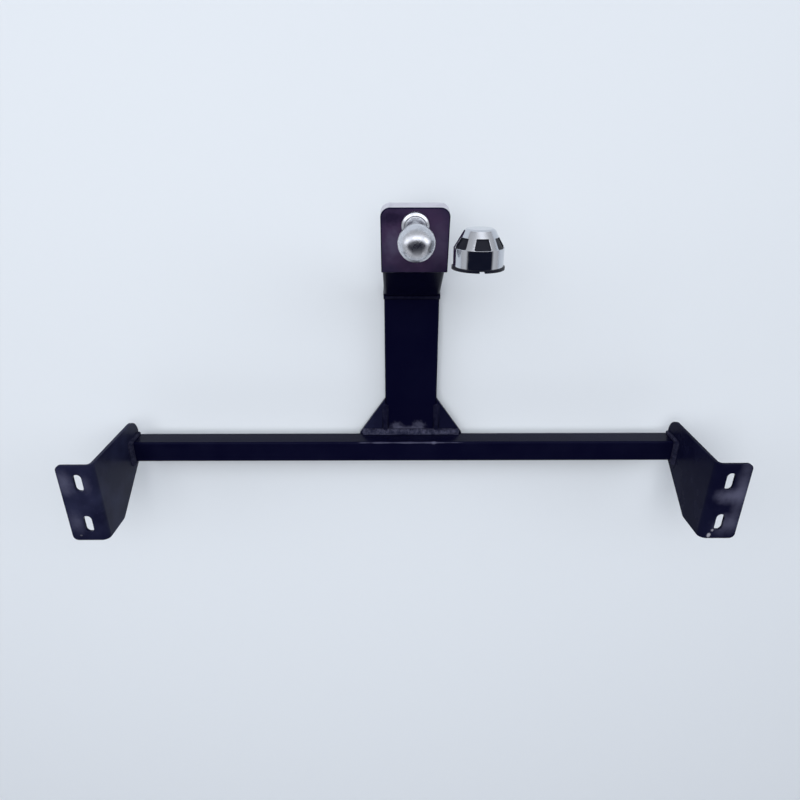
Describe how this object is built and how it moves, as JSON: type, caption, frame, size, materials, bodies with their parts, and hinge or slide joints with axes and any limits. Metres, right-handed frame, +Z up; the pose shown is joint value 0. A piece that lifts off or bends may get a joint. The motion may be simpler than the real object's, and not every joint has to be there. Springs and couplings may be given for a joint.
{
  "type": "towbar",
  "caption": "Square crossbar between bent, slotted end brackets, with a mitred flat tube up to a tilted plate that carries a bolted tow ball; a bright ball cap stands beside it.",
  "frame": {"origin": "middle of the bounding box, at the level of the draw tube's underside", "axes": "+X across the vehicle along the crossbar, to the right in the picture; +Y to the vehicle's rear, up in the picture; +Z up as fitted to the vehicle, towards the camera"},
  "size_m": [1.132, 0.5456, 0.2748],
  "materials": {
    "black_paint": "gloss",
    "painted_weld": "gloss",
    "ball_steel": "satin",
    "fastener_steel": "satin",
    "bright_chrome": "polished",
    "dark_plastic": "matte"
  },
  "bodies": {
    "towbar": {"crossbar": "black_paint", "left_bracket": "black_paint", "right_bracket": "black_paint", "draw_tube": "black_paint", "neck_tube": "black_paint", "tube_end_plate": "black_paint", "left_gusset": "black_paint", "right_gusset": "black_paint", "ball_plate": "black_paint", "tow_ball": "ball_steel", "spring_washer": "fastener_steel", "ball_nut": "fastener_steel", "left_end_weld": "painted_weld", "right_end_weld": "painted_weld", "base_weld": "painted_weld", "lap_weld": "painted_weld", "left_gusset_weld": "painted_weld", "right_gusset_weld": "painted_weld", "seam_weld": "painted_weld", "plate_front_weld": "painted_weld", "plate_rear_weld": "painted_weld"},
    "ball_cap": {"cap_shell": "bright_chrome", "cap_liner": "dark_plastic"}
  },
  "joints": [
    {"name": "ball_cap_pull", "type": "slide", "parent": "towbar", "child": "ball_cap", "axis": [0, 1, 0], "range_m": [0, 0.1]}
  ]
}
